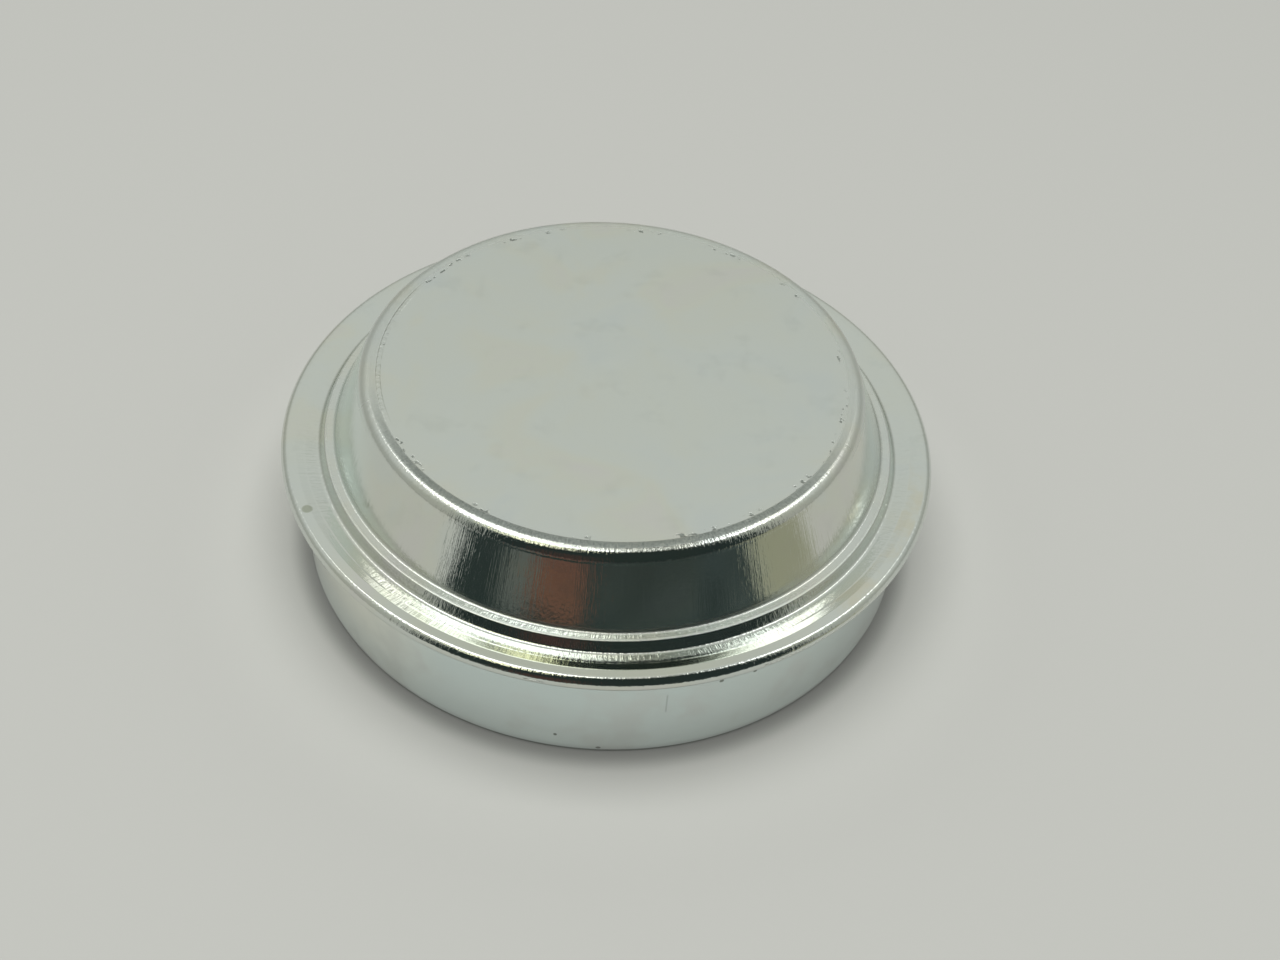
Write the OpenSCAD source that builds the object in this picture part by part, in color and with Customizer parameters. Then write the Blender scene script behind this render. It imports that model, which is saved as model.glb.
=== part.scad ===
// Hub grease cap: one piece of zinc-plated sheet steel, pressed and hemmed. It stands on the open
// end of its skirt. The axis is Z, and the open end lies in the plane z = 0.

/* [Sheet] */
// Thickness of the sheet
sheet = 1; // [0.8:0.1:1.2]

/* [Skirt] */
// Outer diameter of the skirt, which is pressed into the hub
skirt_d = 72; // [60:0.5:90]
// Height of the skirt, from the open end to the underside of the hem
skirt_h = 13.6; // [8:0.2:25]
// Inside radius of the bend between the skirt and the hem
skirt_bend_r = 0.6; // [0.3:0.1:0.9]
// Height of the lead-in at the open end
lead_h = 1.2; // [0.6:0.1:3]
// How far the lead-in draws the open end inward
lead_in = 0.35; // [0.1:0.05:0.6]

/* [Hem] */
// How far the folded hem stands out from the skirt
hem_reach = 2.5; // [2.2:0.1:5]
// Height of the crevice left inside, where the two layers of the hem part
crevice = 0.2; // [0.1:0.05:0.3]

/* [Step ring] */
// How far inside the skirt's outer face the groove has its corner
groove_in = 1.9; // [1.7:0.1:2.1]
// Depth of the groove's corner below the top of the hem, before its bend rounds it
groove_depth = 0.66; // [0.4:0.02:0.7]
// Radius of the bend in the groove
groove_bend_r = 0.5; // [0.3:0.1:0.7]
// Width of the slope from the groove up to the hem's own level
rise_w = 2.7; // [2.4:0.1:2.9]
// Radius of the bend where that slope meets the hem's own level
rise_bend_r = 0.6; // [0.3:0.1:1]
// Width of the slope from the shelf down to the groove
step_w = 0.7; // [0.6:0.1:1]
// Height of the shelf above the top of the hem
shelf_rise = 0.55; // [0.4:0.05:0.9]
// Width of the flat shelf round the foot of the cone
shelf_w = 1.1; // [0.9:0.1:3]
// Radius of the bend at the shelf's outer edge
step_r = 0.3; // [0.2:0.05:0.4]

/* [Dome] */
// Height of the flat top above the top of the hem
dome_h = 9.2; // [6:0.1:18]
// Lean of the conical wall from the vertical, in degrees
wall_lean = 22; // [10:1:35]
// Outside radius of the corner between the flat top and the wall
corner_r = 1.6; // [1.4:0.1:4]
// Radius of the bend at the foot of the wall
foot_r = 0.45; // [0.2:0.05:0.8]

/* [Hidden] */
$fn = 180;
arc_step = 6;

skirt_r = skirt_d / 2;
hem_top = skirt_h + 2 * sheet;
rim_r = skirt_r + hem_reach;
bend_outer_r = skirt_bend_r + sheet;

groove_r = skirt_r - groove_in;
groove_z = hem_top - groove_depth;
rise_r = groove_r + rise_w;
rise_angle = atan2(groove_depth, rise_w);
shelf_z = hem_top + shelf_rise;
shelf_out_r = groove_r - step_w;
shelf_in_r = shelf_out_r - shelf_w;
crown_z = hem_top + dome_h;
crown_r = shelf_in_r - (crown_z - shelf_z) * tan(wall_lean);

// A corner is [radius from the axis, height, radius of its bend]. The outer face runs from the
// middle of the flat top to the open end of the skirt, over the rounded fold of the hem.
outer_face = [
    [0, crown_z, 0],
    [crown_r, crown_z, corner_r],
    [shelf_in_r, shelf_z, foot_r],
    [shelf_out_r, shelf_z, step_r],
    [groove_r, groove_z, groove_bend_r],
    [rise_r, hem_top, rise_bend_r],
    [rim_r, hem_top, sheet],
    [rim_r, skirt_h, sheet],
    [skirt_r, skirt_h, skirt_bend_r],
    [skirt_r, lead_h, lead_h / 2],
    [skirt_r - lead_in, 0, 0]
];

// The inner face runs back up, one sheet thickness inside the outer one. The bend from the skirt to
// the hem stops where it comes within the crevice's height of the sheet above, under the slope.
inner_skirt = [
    [skirt_r - lead_in - sheet, 0, 0],
    [skirt_r - sheet, lead_h, lead_h / 2]
];
under_groove = inset_corner(outer_face, 4, groove_bend_r);
bend_centre = [skirt_r + skirt_bend_r, skirt_h - skirt_bend_r];
up_from_slope = [-sin(rise_angle), cos(rise_angle)];
slope_gap = (place(under_groove) - bend_centre) * up_from_slope;
crevice_angle = 90 - rise_angle - acos(min(1, (slope_gap - crevice) / bend_outer_r));
crevice_end = bend_point(crevice_angle) + crevice * up_from_slope;
inner_dome = [
    concat(crevice_end, 0),
    under_groove,
    inset_corner(outer_face, 3, step_r / 2),
    inset_corner(outer_face, 2, foot_r + sheet),
    inset_corner(outer_face, 1, corner_r - sheet),
    [0, crown_z - sheet, 0]
];

function place(p) = [p[0], p[1]];
function unit(v) = v / norm(v);
function right_of(v) = [v[1], -v[0]];

// Corner i of a face, moved one sheet thickness to the right of its way, with its own bend radius
function inset_corner(face, i, r) =
    let (p = place(face[i]), u = unit(p - place(face[i - 1])), w = unit(place(face[i + 1]) - p),
         shift = sheet * (right_of(u) + right_of(w)) / (1 + u * w))
    [p[0] + shift[0], p[1] + shift[1], r];

// Points of the arc that rounds corner b between corners a and c
function bend(a, b, c) =
    let (u = unit(place(a) - place(b)), w = unit(place(c) - place(b)),
         half = acos(u * w) / 2, turn = 180 - 2 * half,
         side = sign(u[0] * w[1] - u[1] * w[0]),
         centre = place(b) + unit(u + w) * b[2] / sin(half),
         start = place(b) + u * b[2] / tan(half) - centre,
         steps = max(2, ceil(turn / arc_step)))
    [for (k = [0 : steps]) let (t = -side * turn * k / steps)
        centre + [start[0] * cos(t) - start[1] * sin(t), start[0] * sin(t) + start[1] * cos(t)]];

// A line of corners with each of its bends rounded
function rounded(line) = [for (i = [0 : len(line) - 1])
    each (line[i][2] == 0 ? [place(line[i])] : bend(line[i - 1], line[i], line[i + 1]))];

// The inside of the bend from the skirt to the hem, up to the crevice
function bend_point(a) = bend_centre + bend_outer_r * [-cos(a), sin(a)];
function skirt_bend() =
    let (steps = ceil(crevice_angle / arc_step))
    [for (k = [0 : steps]) bend_point(crevice_angle * k / steps)];

module section() {
    inner_line = concat(inner_skirt, [[skirt_r - sheet, skirt_h - skirt_bend_r, 0]]);
    polygon(concat(rounded(outer_face), rounded(inner_line), skirt_bend(), rounded(inner_dome)));
}

module grease_cap() {
    color([0.74, 0.77, 0.73]) rotate_extrude() section();
}

grease_cap();
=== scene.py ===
# %% [markdown]
# # A pressed hub grease cap in Blender
# This lesson dresses a small part of a wheel hub: a cap of zinc-plated sheet steel, pressed out of
# one disc. Its flat crown stands on a leaning wall, a small shelf and a groove ring the foot of the
# wall, and the rim is folded back under itself into a hem before it turns down into the skirt.
# Bright plate shows nearly nothing of its own. It shows the room, bent by its shape, so the lesson
# spends its care on three things: a true section, a plated finish, and a room worth reflecting.

# %% The frame
import math

import bpy
import numpy as np
from mathutils import Matrix


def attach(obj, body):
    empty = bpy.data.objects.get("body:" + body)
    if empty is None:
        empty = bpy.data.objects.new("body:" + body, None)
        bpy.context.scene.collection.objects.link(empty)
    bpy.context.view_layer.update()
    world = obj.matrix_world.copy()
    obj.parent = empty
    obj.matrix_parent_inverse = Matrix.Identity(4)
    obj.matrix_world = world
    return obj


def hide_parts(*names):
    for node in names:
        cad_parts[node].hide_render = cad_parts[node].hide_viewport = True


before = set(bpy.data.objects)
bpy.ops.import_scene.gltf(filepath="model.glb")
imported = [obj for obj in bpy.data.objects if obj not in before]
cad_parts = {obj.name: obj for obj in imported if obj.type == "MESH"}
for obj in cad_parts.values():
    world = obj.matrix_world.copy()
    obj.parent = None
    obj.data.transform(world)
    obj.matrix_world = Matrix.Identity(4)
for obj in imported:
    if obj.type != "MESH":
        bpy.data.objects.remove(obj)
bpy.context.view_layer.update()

MM = 0.001

# %% [markdown]
# ## The camera
# A product photograph like this one is taken by hand, looking down at about 45 degrees. A camera is
# a place and three directions: forward, right and up. Building its matrix from those directions
# keeps every number readable, where a row of Euler angles would hide them.

# %% The camera
IMAGE_WIDTH, FOCAL_PIXELS, SENSOR_WIDTH = 1280, 1750.0, 36
LOOK_DOWN, ROLL = math.radians(44.69), math.radians(-4.98)
AIM_RIGHT, AIM_UP, DISTANCE = -3.636 * MM, 6.102 * MM, 208.24 * MM
AIM_HEIGHT = 15.44 * MM


def camera_directions(look_down, roll):
    """Right, up and forward of a camera that looks along +Y and down, then rolls about its view."""
    forward = np.array([0.0, math.cos(look_down), -math.sin(look_down)])
    level_up = np.array([0.0, math.sin(look_down), math.cos(look_down)])
    level_right = np.array([1.0, 0.0, 0.0])
    right = math.cos(roll) * level_right - math.sin(roll) * level_up
    up = math.sin(roll) * level_right + math.cos(roll) * level_up
    return right, up, forward


right, up, forward = camera_directions(LOOK_DOWN, ROLL)
eye = np.array([0, 0, AIM_HEIGHT]) - AIM_RIGHT * right - AIM_UP * up - DISTANCE * forward
camera_matrix = np.eye(4)
camera_matrix[:3] = np.column_stack([right, up, -forward, eye])
camera = bpy.data.objects.new("camera", bpy.data.cameras.new("camera"))
camera.matrix_world = Matrix(camera_matrix.tolist())
camera.data.sensor_width = SENSOR_WIDTH
camera.data.lens = FOCAL_PIXELS * SENSOR_WIDTH / IMAGE_WIDTH
camera.data.clip_start, camera.data.clip_end = 0.005, 20
bpy.context.scene.collection.objects.link(camera)
bpy.context.scene.camera = camera
print("the camera stands at", np.round(eye / MM, 1), "mm")

# %% [markdown]
# ## The outer face of the section
# The cap is the same all the way round, so its whole shape lies in one half section: radius across,
# height up. A press tool drawing gives corners and the radius of each bend, and so does this list.
# The corners run from the middle of the crown, over the hem, to the open end of the skirt.

# %% Corners of the outer face
SHEET = 1.0
SKIRT_R, SKIRT_H, SKIRT_BEND_R = 36.0, 13.6, 0.6
LEAD_H, LEAD_IN, CUT_R = 1.2, 0.35, 0.12
HEM_TOP, RIM_R, CREVICE = SKIRT_H + 2 * SHEET, 38.5, 0.2
GROOVE_R, GROOVE_Z, GROOVE_BEND_R = 34.1, HEM_TOP - 0.66, 0.5
RISE_R, RISE_BEND_R = 36.8, 0.6
SHELF_Z, SHELF_OUT_R, SHELF_IN_R, STEP_R, FOOT_R = HEM_TOP + 0.55, 33.4, 32.3, 0.3, 0.45
CROWN_Z, WALL_LEAN, CORNER_R = HEM_TOP + 9.2, math.radians(22), 1.6
CROWN_R = SHELF_IN_R - (CROWN_Z - SHELF_Z) * math.tan(WALL_LEAN)

outer_corners = [
    (0, CROWN_Z, 0), (CROWN_R, CROWN_Z, CORNER_R),
    (SHELF_IN_R, SHELF_Z, FOOT_R), (SHELF_OUT_R, SHELF_Z, STEP_R),
    (GROOVE_R, GROOVE_Z, GROOVE_BEND_R), (RISE_R, HEM_TOP, RISE_BEND_R),
    (RIM_R, HEM_TOP, SHEET), (RIM_R, SKIRT_H, SHEET),
    (SKIRT_R, SKIRT_H, SKIRT_BEND_R), (SKIRT_R, LEAD_H, LEAD_H / 2),
    (SKIRT_R - LEAD_IN, 0, CUT_R),
]
print(len(outer_corners), "outer corners, and the hem is", RIM_R - SKIRT_R, "mm wide")

# %% [markdown]
# ## The inner face of the section
# Inside, the sheet follows the outer face at one thickness, back up from the open end to the axis.
# Only the hem differs: the inside of its bend is an arc about the centre of the outer bend, and it
# stops where it comes within the crevice's height of the layer above.


# %% Corners of the inner face
def inset(corners, index, radius):
    """The corner at that place in the list, moved one sheet inward, with a bend radius of its own."""
    before, here, after = (np.array(corners[index + k][:2], float) for k in (-1, 0, 1))
    u = (here - before) / np.linalg.norm(here - before)
    w = (after - here) / np.linalg.norm(after - here)
    shift = SHEET * np.array([u[1] + w[1], -u[0] - w[0]]) / (1 + u @ w)
    return (*(here + shift), radius)


slope = math.atan2(HEM_TOP - GROOVE_Z, RISE_R - GROOVE_R)
away = np.array([-math.sin(slope), math.cos(slope)])
bend_centre = np.array([SKIRT_R + SKIRT_BEND_R, SKIRT_H - SKIRT_BEND_R])
bend_outer_r = SKIRT_BEND_R + SHEET
under_groove = inset(outer_corners, 4, GROOVE_BEND_R)
gap = (np.array(under_groove[:2]) - bend_centre) @ away
crevice_turn = math.pi / 2 - slope - math.acos((gap - CREVICE) / bend_outer_r)
turns = np.linspace(0, crevice_turn, 8)
hem_inside = bend_centre + bend_outer_r * np.column_stack([-np.cos(turns), np.sin(turns)])
inner_corners = [
    (SKIRT_R - LEAD_IN - SHEET, 0, CUT_R), (SKIRT_R - SHEET, LEAD_H, LEAD_H / 2),
    *((*point, 0) for point in hem_inside), (*(hem_inside[-1] + CREVICE * away), 0), under_groove,
    inset(outer_corners, 3, STEP_R / 2), inset(outer_corners, 2, FOOT_R + SHEET),
    inset(outer_corners, 1, CORNER_R - SHEET), (0, CROWN_Z - SHEET, 0),
]
print(len(inner_corners), "inner corners")

# %% [markdown]
# ## From corners to a smooth line
# Each bend becomes an arc that touches both of its straight stretches. Shading on bright metal
# shows every turn of the surface, and a long flat face next to an arc would share the arc's tilt at
# its border. Two extra points close to each end of a straight stretch hold its shading flat. The
# bends outside turn in small steps. Those inside, which are seldom seen, make do with larger ones.

# %% Rounding and holding
OUTER_TURN, INNER_TURN = math.radians(5), math.radians(12)
LONGEST, HOLD = 3.0, 0.07


def rounded(corners, turn_steps):
    """Points along the corners. A corner with a radius gives an arc, centred on its bisector, whose
    points are the centre plus the start spoke turned by equal steps."""
    line = []
    for before, here, after, turn_step in zip(corners[-1:] + corners[:-1], corners,
                                              corners[1:] + corners[:1], turn_steps):
        corner, radius = np.array(here[:2], float), here[2]
        if radius == 0:
            line.append(corner[None])
            continue
        u, w = (np.array(other[:2], float) - corner for other in (before, after))
        u, w = u / np.linalg.norm(u), w / np.linalg.norm(w)
        half = math.acos(np.clip(u @ w, -1, 1)) / 2
        centre = corner + (u + w) / np.linalg.norm(u + w) * radius / math.sin(half)
        spoke = corner + u * radius / math.tan(half) - centre
        turn = -np.sign(u[0] * w[1] - u[1] * w[0]) * (math.pi - 2 * half)
        t = np.linspace(0, turn, max(4, math.ceil(abs(turn) / turn_step) + 1))[:, None]
        line.append(centre + np.cos(t) * spoke + np.sin(t) * np.array([-spoke[1], spoke[0]]))
    return np.concatenate(line)


def held(line):
    """The line with points added on its straight stretches: one close to each end, and more between
    them so that no stretch is longer than the longest allowed."""
    steps = np.linalg.norm(np.diff(line, axis=0), axis=1)
    parts = []
    for start, end, length in zip(line[:-1], line[1:], steps):
        shares = [0.0]
        if length > 5 * HOLD:
            inner = np.linspace(HOLD, length - HOLD, max(2, math.ceil(length / LONGEST) + 1))
            shares += list(inner / length)
        parts.append(start + np.array(shares)[:, None] * (end - start))
    return np.concatenate([*parts, line[-1:]])


turn_steps = [OUTER_TURN] * len(outer_corners) + [INNER_TURN] * len(inner_corners)
profile = held(rounded(outer_corners + inner_corners, turn_steps))
print("the section has", len(profile), "points")

# %% [markdown]
# ## The waves of the press
# A pressed cap is never perfectly true, so a few long, shallow waves lie over it: a hundredth of a
# millimetre is enough to make a reflection wander. They could be noise, but sums of sines close up
# round the cap and stay the same each run.

# %% Press waves
WALL_WAVE, WALL_RIPPLE, HEM_WAVE, CROWN_WAVE, CROWN_RIPPLE = 0.011, 0.006, 0.006, 0.012, 0.004


def press_waves(radius, height, angle):
    """How far the sheet stands off its true shape, in mm: slow waves round the cap on the wall and
    the hem, and across on the crown, as products of sines of angle, radius and height."""
    wall = WALL_WAVE * np.sin(3 * angle + 0.7) + WALL_RIPPLE * np.sin(7 * angle + 2.1 + 0.12 * height)
    hem = HEM_WAVE * np.sin(5 * angle + 1.3) * np.clip((radius - 30) / 5, 0, 1)
    x, y = radius * np.cos(angle), radius * np.sin(angle)
    crown = (CROWN_WAVE * np.sin(0.11 * x + 0.6) * np.sin(0.13 * y + 1.1)
             + CROWN_RIPPLE * np.sin(0.31 * x - 0.23 * y))
    on_crown = np.clip((height - CROWN_Z) / 0.6 + 1, 0, 1)
    return crown * on_crown + (wall * (1 - on_crown) + hem) * np.clip(radius / 20, 0, 1)


print("the waves stand off", WALL_WAVE + WALL_RIPPLE + HEM_WAVE, "mm at most")

# %% [markdown]
# ## Turning the section round the axis
# A lathe surface is a function of two parameters: the place along the section and the angle. A
# Screw modifier could turn the section too, but whole arrays give every point at once, and let the
# waves move each point along the section's normal.

# %% The lathe
AROUND = 380


def lathe(line, around):
    """Rings at (r cos a, r sin a, z) for every point of the line but the two on the axis, moved along
    the section's normal by the press waves, with a fan of triangles to the axis at both ends."""
    angle = np.arange(around) * 2 * np.pi / around
    along = np.gradient(line, axis=0)
    normal = np.column_stack([-along[:, 1], along[:, 0]])
    normal /= np.linalg.norm(normal, axis=1)[:, None]
    ring, ring_normal = line[1:-1], normal[1:-1]
    off = press_waves(ring[:, :1], ring[:, 1:], angle[None])
    r = ring[:, :1] + off * ring_normal[:, :1]
    z = ring[:, 1:] + off * ring_normal[:, 1:]
    points = np.stack([r * np.cos(angle), r * np.sin(angle), z], -1).reshape(-1, 3)
    points = np.vstack([points, [[0, 0, line[0, 1]], [0, 0, line[-1, 1]]]]) * MM
    i, j = np.arange(len(ring) - 1)[:, None] * around, np.arange(around)
    following = (j + 1) % around
    quads = np.stack([i + j, i + around + j, i + around + following, i + following], -1).reshape(-1, 4)
    top, bottom, last = len(points) - 2, len(points) - 1, (len(ring) - 1) * around
    fans = [*np.column_stack([np.full(around, top), j, following]).tolist(),
            *np.column_stack([np.full(around, bottom), last + following, last + j]).tolist()]
    mesh = bpy.data.meshes.new("pressed_cap")
    mesh.from_pydata(points.tolist(), [], quads.tolist() + fans)
    mesh.shade_smooth()
    return mesh


cap = bpy.data.objects.new("pressed_cap", lathe(profile, AROUND))
bpy.context.scene.collection.objects.link(cap)
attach(cap, "root")
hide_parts("grease_cap")
print("the cap has", sum(len(face.vertices) - 2 for face in cap.data.polygons), "triangles")

# %% [markdown]
# ## Shader maths as expressions
# A finish is arithmetic on a few patterns. Wrapping a socket in a small class lets that arithmetic
# be written as arithmetic, and every sign adds its Math node behind the scenes.


# %% A node tree written as expressions
class Socket:
    """An output of a node tree, on which + - * / and ** add Math nodes."""

    def __init__(self, tree, socket):
        self.tree, self.socket = tree, socket

    def maths(self, operation, *others):
        return self.tree.node("ShaderNodeMath", {"operation": operation},
                              dict(enumerate([self, *others])))

    def __add__(self, other): return self.maths("ADD", other)
    def __sub__(self, other): return self.maths("SUBTRACT", other)
    def __mul__(self, other): return self.maths("MULTIPLY", other)
    def __truediv__(self, other): return self.maths("DIVIDE", other)
    def __pow__(self, other): return self.maths("POWER", other)
    def __neg__(self): return self * -1.0
    __radd__, __rmul__ = __add__, __mul__
    def __rsub__(self, other): return (-self) + other

    def step(self, start, end):
        """0 below start and 1 above end, with a smooth passage."""
        return self.tree.node("ShaderNodeMapRange", {"interpolation_type": "SMOOTHSTEP"},
                              {"Value": self, "From Min": start, "From Max": end})

    def band(self, start, end, soft):
        """1 between start and end, falling off to 0 over a width outside both."""
        return self.step(start - soft, start) * (1 - self.step(end, end + soft))


class Tree:
    """The node tree of a material or world, emptied, with one method that adds any node."""

    def __init__(self, owner):
        owner.use_nodes = True
        self.nodes, self.links = owner.node_tree.nodes, owner.node_tree.links
        self.nodes.clear()

    def node(self, kind, settings=None, sockets=None, output=0):
        """A node of that kind. Its settings are set first, with a ramp's stops among them, and then
        each socket gets a number, a colour or a link."""
        node = self.nodes.new(kind)
        for name, value in (settings or {}).items():
            if name == "stops":
                ramp = node.color_ramp.elements
                while len(ramp) < len(value):
                    ramp.new(1)
                for element, (position, colour) in zip(ramp, value):
                    element.position, element.color = position, (*colour, 1)
            else:
                setattr(node, name, value)
        for name, value in (sockets or {}).items():
            target = node.inputs[name]
            if isinstance(value, Socket):
                self.links.new(value.socket, target)
            elif isinstance(value, tuple) and len(value) < len(target.default_value):
                target.default_value = (*value, 1)
            else:
                target.default_value = value
        return Socket(self, node.outputs[output]) if node.outputs else None

    def mix(self, factor, a, b):
        """Colour a where factor is 0 and b where it is 1."""
        return self.node("ShaderNodeMix", {"data_type": "RGBA", "clamp_factor": True},
                         {"Factor": factor, "A": a, "B": b}, "Result")

    def noise(self, vector, scale, detail=2.0, roughness=0.5, distortion=0.0):
        """Soft noise about 0.5, with bumps about 1 / scale long."""
        return self.node("ShaderNodeTexNoise", {}, {"Vector": vector, "Scale": scale, "Detail": detail,
                                                    "Roughness": roughness, "Distortion": distortion})

    def split(self, vector):
        """The three parts of a vector."""
        parts = self.node("ShaderNodeSeparateXYZ", {}, {"Vector": vector})
        return [Socket(self, output) for output in parts.socket.node.outputs]

    def join(self, x, y, z):
        """A vector of three parts."""
        return self.node("ShaderNodeCombineXYZ", {}, {"X": x, "Y": y, "Z": z})


# %% [markdown]
# ## Where each form lies
# One material covers the whole sheet, as the bath does, so the finish has to know which form it is
# on. Vertex groups could say so, but radius and height do it with no data on the mesh, because no
# two forms of a turned part share both. Each mask is a soft band between two of the section's
# sizes, and those at the crown's border start from the radius where the flat crown begins to bend.

# %% Zinc plate: coordinates and masks
CROWN_EDGE = 27.8

zinc = bpy.data.materials.new("zinc_plate")
t = Tree(zinc)
place = t.node("ShaderNodeTexCoord", output=3)
x, y, z = t.split(place)
radius = (x * x + y * y).maths("SQRT")
height_mm, radius_mm, x_mm, y_mm = z / MM, radius / MM, x / MM, y / MM
out_x, out_y = x / (radius + 1e-5), y / (radius + 1e-5)

outside = radius_mm.step(SKIRT_R - 0.8, SKIRT_R - 0.5)
skirt = outside * (1 - height_mm.step(SKIRT_H - 0.6, SKIRT_H))
plain_skirt = outside * (1 - height_mm.step(SKIRT_H - 1.0, SKIRT_H - 0.2))
# Painted shadow along the skirt's bottom edge, where it meets the floor.
foot_edge_shade = 1 - height_mm.step(0.25, 0.6)
flange = radius_mm.band(SKIRT_R - 0.1, RIM_R - 0.9, 0.25) * height_mm.step(HEM_TOP - 0.6, HEM_TOP - 0.3)
wall = (height_mm.band(HEM_TOP + 0.8, CROWN_Z - 1.0, 0.4)
        * radius_mm.band(CROWN_R - 0.4, SHELF_IN_R + 0.1, 0.3))
flat = height_mm.step(CROWN_Z - 0.14, CROWN_Z - 0.02) * (1 - radius_mm.step(CROWN_EDGE - 0.4, CROWN_EDGE))
crown_bend = (height_mm.band(CROWN_Z - 1.1, CROWN_Z - 0.1, 0.3)
              * radius_mm.step(CROWN_EDGE, CROWN_EDGE + 0.4))
bends = radius_mm.step(SHELF_IN_R - 0.2, SHELF_IN_R + 0.2).maths("MAXIMUM", crown_bend)
print("the masks take", len(zinc.node_tree.nodes), "nodes")

# %% [markdown]
# ## The plated finish
# Electroplated zinc is a thin bright skin with a clear passivation over it. The clear film is about
# as thick as a wave of light, so it has faint clouds of yellow, pink and blue. On the skirt it is
# thicker and looks teal, with a straw-coloured patch at the left. Towards its foot the skirt is
# painted paler, a painted light, and a thin painted shadow darkens its bottom edge. The wall's left
# side is painted lighter and greener, a painted light. The clouds could be pure noise, but these few
# sit in known places, so soft masks on the part's own coordinates put them there.

# %% Zinc plate: the film's colours, with painted light and shade
FILM_CLOUDS = [
    (0.30, (0.69, 0.735, 0.715)), (0.42, (0.71, 0.748, 0.712)), (0.52, (0.715, 0.748, 0.70)),
    (0.60, (0.725, 0.745, 0.675)), (0.70, (0.725, 0.73, 0.69))]
SMUDGE, SKIRT_CLOUD, FOOT_EDGE_SHADE = (0.50, 0.54, 0.50), (0.70, 0.715, 0.69), (0.16, 0.18, 0.16)
TEAL_LEFT, TEAL_RIGHT, STRAW = (0.70, 0.79, 0.78), (0.71, 0.79, 0.77), (0.89, 0.90, 0.81)
SKIRT_FOOT_PAINTED_LIGHT, WALL_LEFT_PAINTED_LIGHT = (0.93, 1.0, 0.99), (0.76, 0.84, 0.80)
YELLOWED, FLANGE_FRONT_PAINTED_SHADE = (0.72, 0.70, 0.58), (0.60, 0.625, 0.53)

clouds = t.noise(place, 70, 3, 0.55, 0.6)
tint = t.node("ShaderNodeValToRGB", {"stops": FILM_CLOUDS}, {"Fac": clouds})
smudges = t.noise(place, 210, 4, 0.6).step(0.54, 0.72)
tint = t.mix(smudges * 0.13, tint, SMUDGE)

straw = (-x_mm).step(14, 26) * (height_mm * 0.12 + 0.25).maths("MINIMUM", 1.0)
film = t.mix(straw, t.mix(x_mm.step(8, 22), TEAL_LEFT, TEAL_RIGHT), STRAW)
# Painted light: the skirt is painted paler towards its foot.
film = t.mix(height_mm.step(1, 12), t.mix(0.5, film, SKIRT_FOOT_PAINTED_LIGHT), film)
tint = t.mix(skirt, tint, film)
tint = t.mix(skirt * t.noise(place, 110, 3, 0.6).step(0.48, 0.66) * 0.45, tint, SKIRT_CLOUD)
# Painted shadow: the skirt's bottom edge is painted dark.
tint = t.mix(skirt * foot_edge_shade * 0.8, tint, FOOT_EDGE_SHADE)
# Painted light: the wall's left side is painted lighter and greener.
tint = t.mix(wall * (-x_mm).step(24, 29) * 0.9, tint, WALL_LEFT_PAINTED_LIGHT)
yellowed = x_mm.step(18, 26) * (1 - y_mm.step(-8, 4)) * t.noise(place, 120, 4, 0.65).step(0.45, 0.62)
tint = t.mix(flange * yellowed * 0.7, tint, YELLOWED)
print("with the film it has", len(zinc.node_tree.nodes), "nodes")

# %% [markdown]
# ## Knocks
# Parts that tumble in a bin get a few dark knocks. Four on the skirt, one thin upright scratch
# beside them and one spot on the flange have known places, so each is a small disc or line there.

# %% Zinc plate: knocks and a scratch
KNOCKS = ((14.8, 10.6, 0.30), (18.4, 10.5, 0.25), (-2.7, 2.7, 0.25), (2.1, 0.9, 0.35))
KNOCKED, SPOTTED = (0.16, 0.17, 0.14), (0.42, 0.45, 0.36)


def spot(across, up, size):
    """1 within a distance of a point and 0 outside, from the offsets in two directions."""
    return 1 - (across * across + up * up).maths("SQRT").step(size * 0.6, size)


scratch = x_mm.band(9.05, 9.15, 0.08) * height_mm.band(7.2, 9.6, 0.5) * 0.35
knocks = sum((spot(x_mm - right_of, height_mm - over, size) for right_of, over, size in KNOCKS), scratch)
tint = t.mix(knocks * skirt * (-out_y).step(0.4, 0.5) * 0.8, tint, KNOCKED)
tint = t.mix(spot(x_mm + 32.65, y_mm + 17.5, 0.75) * flange * 0.8, tint, SPOTTED)
print(len(KNOCKS), "knocks, one scratch and one spot")

# %% [markdown]
# ## The marks of the press
# The press has drawn the wall and the bends, which leaves fine scores that run down the slope. In a
# tight bend each score is a tiny mirror at its own angle, so the edge of a reflection turns ragged
# and sparkles. Noise makes the scores: read by direction from the axis alone it runs straight down
# every slope. Relief goes through one Bump node, in units of a tenth of a millimetre, so one number
# compares all marks.

# %% Zinc plate: scores and grain
RELIEF_UNIT = 1e-4

along = (radius_mm - height_mm) * 1.3
scores = t.noise(t.join(out_x * 60, out_y * 60, height_mm * 0.02), 1.0, 3, 0.7)
fine_scores = t.noise(t.join(out_x * 220, out_y * 220, along * 0.3), 1.0, 2, 0.6)
ragged = t.noise(t.join(out_x * 110, out_y * 110, along * 0.9), 1.0, 2, 0.6)
grain = t.noise(place, 2600, 3, 0.6)
drawn = (scores * 0.20 + fine_scores * 0.10) * (1 - plain_skirt * 0.8) + ragged * 0.06
relief = (drawn * (1 - flat) + grain * 0.06
          + ragged * bends * (1 - flange) * (1 - plain_skirt) * 0.30)
print("with the scores it has", len(zinc.node_tree.nodes), "nodes")

# %% [markdown]
# ## The crown's border
# The die's edge has left a rough ring where the crown starts to bend, worn most at the front, where
# its colour is also painted darker, a painted shade. Caps that rub in the bin have pitted the crown
# just inside it, and at the left the rubbing sparkles. The flange's front is painted darker and
# yellower, a painted shade.

# %% Zinc plate: the die's ring, pits and sparkle
RUBBED_AND_SHADED = (0.26, 0.29, 0.27)

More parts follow.
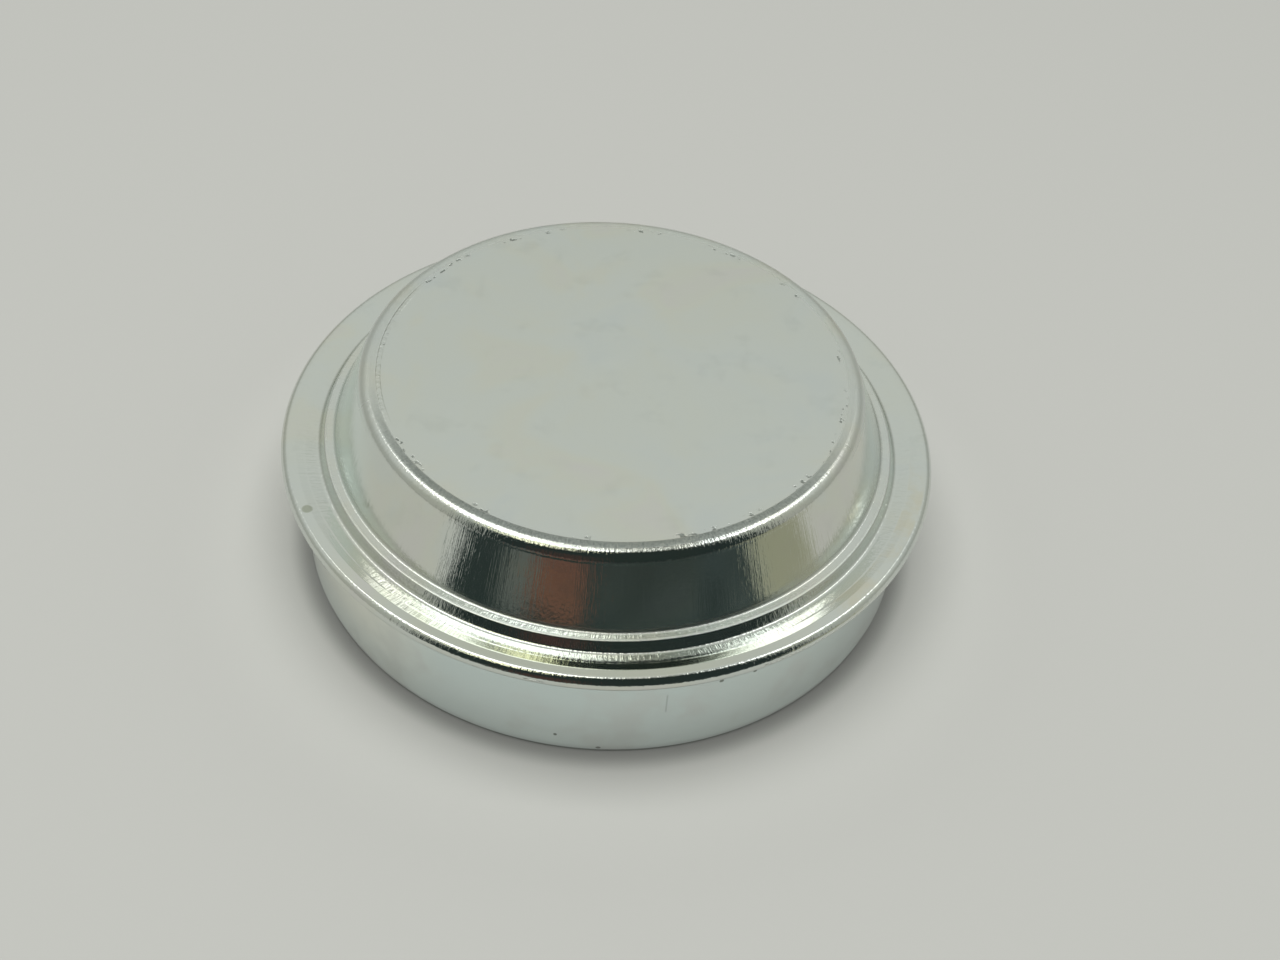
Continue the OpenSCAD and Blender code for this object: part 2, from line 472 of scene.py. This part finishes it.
die_ring = (radius_mm.band(CROWN_EDGE - 0.45, CROWN_EDGE + 0.2, 0.2)
            * height_mm.step(CROWN_Z - 0.6, CROWN_Z - 0.3))
die_grain = t.noise(t.join(out_x * 150, out_y * 150, along * 2.2), 1.0, 3, 0.6)
wear_and_front_shade = (-out_y).step(0.15, 0.75) * 0.9 + 0.1
border = (radius_mm.band(CROWN_EDGE - 1.1, CROWN_EDGE - 0.75, 0.15)
          * height_mm.step(CROWN_Z - 0.4, CROWN_Z - 0.2))
patches = t.noise(t.join(out_x * 3, out_y * 3, 0.0), 1.0, 1, 0.5).step(0.48, 0.56)
pits = t.noise(place, 1250, 2, 0.5).step(0.56, 0.64) * border * patches
sparkle = t.noise(place, 2000, 2, 0.6) * border * (-out_x).step(0.86, 0.95)
relief = relief + die_grain * die_ring * wear_and_front_shade * 0.9 - pits * 0.5 + sparkle * 1.2
# Painted shade: the ring's colour is darker towards the front, on top of its wear; the pits are real.
tint = t.mix(die_ring * wear_and_front_shade * (die_grain * 1.1 + 0.25) + pits * 0.8, tint, RUBBED_AND_SHADED)
# Painted shade: the flange's front is painted darker and yellower.
tint = t.mix(flange * (-out_y).step(0.72, 0.98) * 0.75, tint, FLANGE_FRONT_PAINTED_SHADE)
print("with the border it has", len(zinc.node_tree.nodes), "nodes")

# %% [markdown]
# ## Gloss
# Plate copies the steel under it: smoothest on the drawn wall, duller on the flat crown, and dull
# where a tool's edge has rubbed, on the shelf's two edges, in the ring and on the crown's bend.

# %% Zinc plate: roughness and shader
shelf_rim = (radius_mm.band(SHELF_OUT_R - 0.25, SHELF_OUT_R, 0.05)
             * height_mm.step(SHELF_Z - 0.2, SHELF_Z - 0.1))
shelf_foot = (radius_mm.band(SHELF_IN_R - 0.2, SHELF_IN_R + 0.1, 0.1)
              * height_mm.band(SHELF_Z - 0.15, SHELF_Z + 0.35, 0.1))
corner = (height_mm.band(CROWN_Z - 1.2, CROWN_Z - 0.1, 0.2)
          * radius_mm.step(CROWN_EDGE, CROWN_EDGE + 0.3))
roughness = (0.07 + flat * 0.13 + die_ring * 0.28 + pits * 0.3 + clouds * 0.04 + smudges * 0.04
             + (shelf_rim + shelf_foot) * 0.22 + corner * (1 - wear_and_front_shade) * 0.25)
bump = t.node("ShaderNodeBump", {}, {"Height": relief, "Strength": 1.0, "Distance": RELIEF_UNIT})
shader = t.node("ShaderNodeBsdfPrincipled", {}, {"Base Color": tint, "Metallic": 1.0,
                                                 "Roughness": roughness, "Normal": bump})
t.node("ShaderNodeOutputMaterial", {}, {"Surface": shader})
cap.data.materials.append(zinc)
print("zinc plate has", len(zinc.node_tree.nodes), "nodes")

# %% [markdown]
# ## The floor
# The cap stands on a pale card, wide enough for every view. Bright metal in front of a camera
# always shows the room behind the photographer: here that is far darker than the card. So, for
# reflections only, the card turns dark a hand's width in front of the cap, between two directions.
# A little colour in that dark makes it a room: a grey patch, a red-brown one, a bluish haze, and
# olive beyond its right edge. Further off the card is dimmer, as it is under any table lamp. Right
# round the cap's foot it is painted darker, then a little lighter, which draws the wide soft
# shadow close in.

# %% The card
FLOOR_HALF = 4.0

corners = [(sx * FLOOR_HALF, sy * FLOOR_HALF, 0) for sx, sy in ((-1, -1), (1, -1), (1, 1), (-1, 1))]
floor_mesh = bpy.data.meshes.new("floor")
floor_mesh.from_pydata(corners, [], [(0, 1, 2, 3)])
floor = bpy.data.objects.new("floor", floor_mesh)
bpy.context.scene.collection.objects.link(floor)
print("the card is", 2 * FLOOR_HALF, "m wide")

# %% The card's colours
CARD, ROOM_DIM = (0.452, 0.458, 0.430), (0.37, 0.38, 0.35)
ROOM_DARK, ROOM_FAR = (0.022, 0.032, 0.030), (0.036, 0.045, 0.043)
GREY, HAZE, OLIVE = (0.10, 0.11, 0.10), (0.070, 0.088, 0.084), (0.27, 0.275, 0.205)
RED_NEAR, RED_FAR = (0.15, 0.074, 0.048), (0.11, 0.06, 0.048)
FOOT_PAINTED_SHADOW, FOOT_PAINTED_LIGHT = (0.30, 0.305, 0.287), (0.490, 0.497, 0.466)
FRONT_TURN, GREY_TURN, RED_TURN = (-48, 55), (-31, -22), (-20.5, -4)
HAZE_TURN, OLIVE_TURN = (0, 52), (57, 74)

card = bpy.data.materials.new("pale_card")
t = Tree(card)
glossy_ray = t.node("ShaderNodeLightPath", output=3)
x, y, z = t.split(t.node("ShaderNodeTexCoord", output=3))
distance = (x * x + y * y).maths("SQRT")
distance_mm = distance / MM
turn = x.maths("ARCTAN2", -y) * (180 / math.pi)

room_floor = t.mix(distance.step(0.22, 0.42), ROOM_DARK, ROOM_FAR)
room_floor = t.mix(turn.band(*GREY_TURN, 1.0) * distance.step(0.15, 0.18), room_floor, GREY)
haze = t.noise(t.join(x, y, 0.0), 14, 3, 0.6).step(0.44, 0.6) * (1 - distance.step(0.27, 0.34))
room_floor = t.mix(haze * turn.band(*HAZE_TURN, 4) * 0.6, room_floor, HAZE)
red = t.mix(distance.step(0.26, 0.36), RED_NEAR, RED_FAR)
room_floor = t.mix(turn.band(*RED_TURN, 1.0) * distance.step(0.19, 0.205), room_floor, red)

seen = t.mix(distance.step(0.25, 0.45), CARD, ROOM_DIM)
seen = t.mix(turn.band(*OLIVE_TURN, 3) * distance.step(0.075, 0.10), seen, OLIVE)
seen = t.mix(turn.band(*FRONT_TURN, 1.0) * distance.step(0.085, 0.105), seen, room_floor)
# Painted shadow: the card is painted darker right round the cap's foot, with a painted lighter ring
# beyond.
painted_foot_shadow = t.mix(distance_mm.step(39, 54), FOOT_PAINTED_LIGHT, CARD)
painted_foot_shadow = t.mix(distance_mm.step(36.2, 38.9), FOOT_PAINTED_SHADOW, painted_foot_shadow)
colour = t.mix(glossy_ray, painted_foot_shadow, seen)
shader = t.node("ShaderNodeBsdfPrincipled", {}, {"Base Color": colour, "Roughness": 0.9,
                                                 "Specular IOR Level": 0.0})
t.node("ShaderNodeOutputMaterial", {}, {"Surface": shader})
floor_mesh.materials.append(card)
print("the card has", len(card.node_tree.nodes), "nodes")

# %% [markdown]
# ## The room as a world
# The world is painted by direction. Its lift is the angle up from the front horizon, over the
# zenith, to the horizon behind. Its turn is the angle to the right of the front. Diffuse surfaces
# see an even pale light, so a colour renders about as it is written. Reflections see a dim band all
# round the horizon, which draws the thin dark line along every bend, and the dark room in front
# with a pale-yellow patch high up at its left. Above it a bright ceiling strip, which a gap parts
# and whose edges curve, crosses the room, and the rest is plain light. Photographs of a real room
# could do this too, but a painted one can be read and changed.

# %% The world
FRONT_TOP, STRIP_TOP, EVEN = 79, 93, (0.46, 0.46, 0.45)
LIGHT, SIDES, HORIZON = (0.64, 0.655, 0.622), (0.46, 0.48, 0.43), (0.42, 0.43, 0.395)
STRIP, STRIP_GAP = (2.6, 2.6, 2.55), (0.2, 0.22, 0.2)
YELLOW, YELLOW_TURN, LOW_RED = (2.0, 1.95, 1.4), (-48, -29), (0.06, 0.037, 0.032)

world = bpy.data.worlds.new("room")
bpy.context.scene.world = world
t = Tree(world)
glossy_ray = t.node("ShaderNodeLightPath", output=3)
x, y, z = t.split(t.node("ShaderNodeTexCoord", output=0))
lift = z.maths("ARCTAN2", -y) * (180 / math.pi)
turn = x.maths("ARCTAN2", -y) * (180 / math.pi)
elevation = z.maths("ARCSINE") * (180 / math.pi)

dark_front = t.mix(turn.band(*RED_TURN, 1.0) * (1 - lift.step(20, 40)), ROOM_DARK, LOW_RED)
dark_front = t.mix(turn.band(*YELLOW_TURN, 2) * lift.step(56, 62), dark_front, YELLOW)
side = turn.step(66, 72).maths("MAXIMUM", (-turn).step(50, 56))
below = t.mix(side, dark_front, SIDES)
strip = t.mix(x.band(0.04, 0.36, 0.03) * 0.95, STRIP, STRIP_GAP)
strip = t.mix(x.band(-0.50, 0.55, 0.07), LIGHT, strip)
front_edge = lift - x.maths("MAXIMUM", 0.0) ** 2 * 33
room = t.mix(front_edge.step(FRONT_TOP - 2, FRONT_TOP + 2), below, strip)
back_edge = lift - x * x * 100
room = t.mix(back_edge.step(STRIP_TOP - 3, STRIP_TOP + 3), room, LIGHT)
horizon = (1 - elevation.step(12, 42)) * (1 - (1 - side) * (1 - lift.step(60, 90)))
room = t.mix(horizon, room, HORIZON)
light = t.mix(glossy_ray, EVEN, room)
t.node("ShaderNodeOutputWorld", {}, {"Surface": t.node("ShaderNodeBackground", {}, {"Color": light})})
print("the room has", len(world.node_tree.nodes), "nodes")

# %% [markdown]
# ## One soft lamp
# A broad lamp overhead gives the soft shadow under the hem. It is left out of reflections, because
# the painted room already has a bright strip where the ceiling light would be.

# %% The lamp
LAMP_PLACE, LAMP_SIDE, LAMP_WATTS = (-0.04, -0.12, 1.0), 0.9, 9.7

lamp_data = bpy.data.lights.new("overhead", "AREA")
lamp_data.shape, lamp_data.size, lamp_data.size_y = "RECTANGLE", LAMP_SIDE, LAMP_SIDE
lamp_data.energy = LAMP_WATTS
lamp = bpy.data.objects.new("overhead", lamp_data)
lamp.location = LAMP_PLACE
lamp.visible_glossy = False
bpy.context.scene.collection.objects.link(lamp)
print("one lamp of", LAMP_WATTS, "W")

# %% [markdown]
# ## Colour
# The Standard view shows colours as they are written.

# %% Finish
bpy.context.scene.view_settings.view_transform = "Standard"
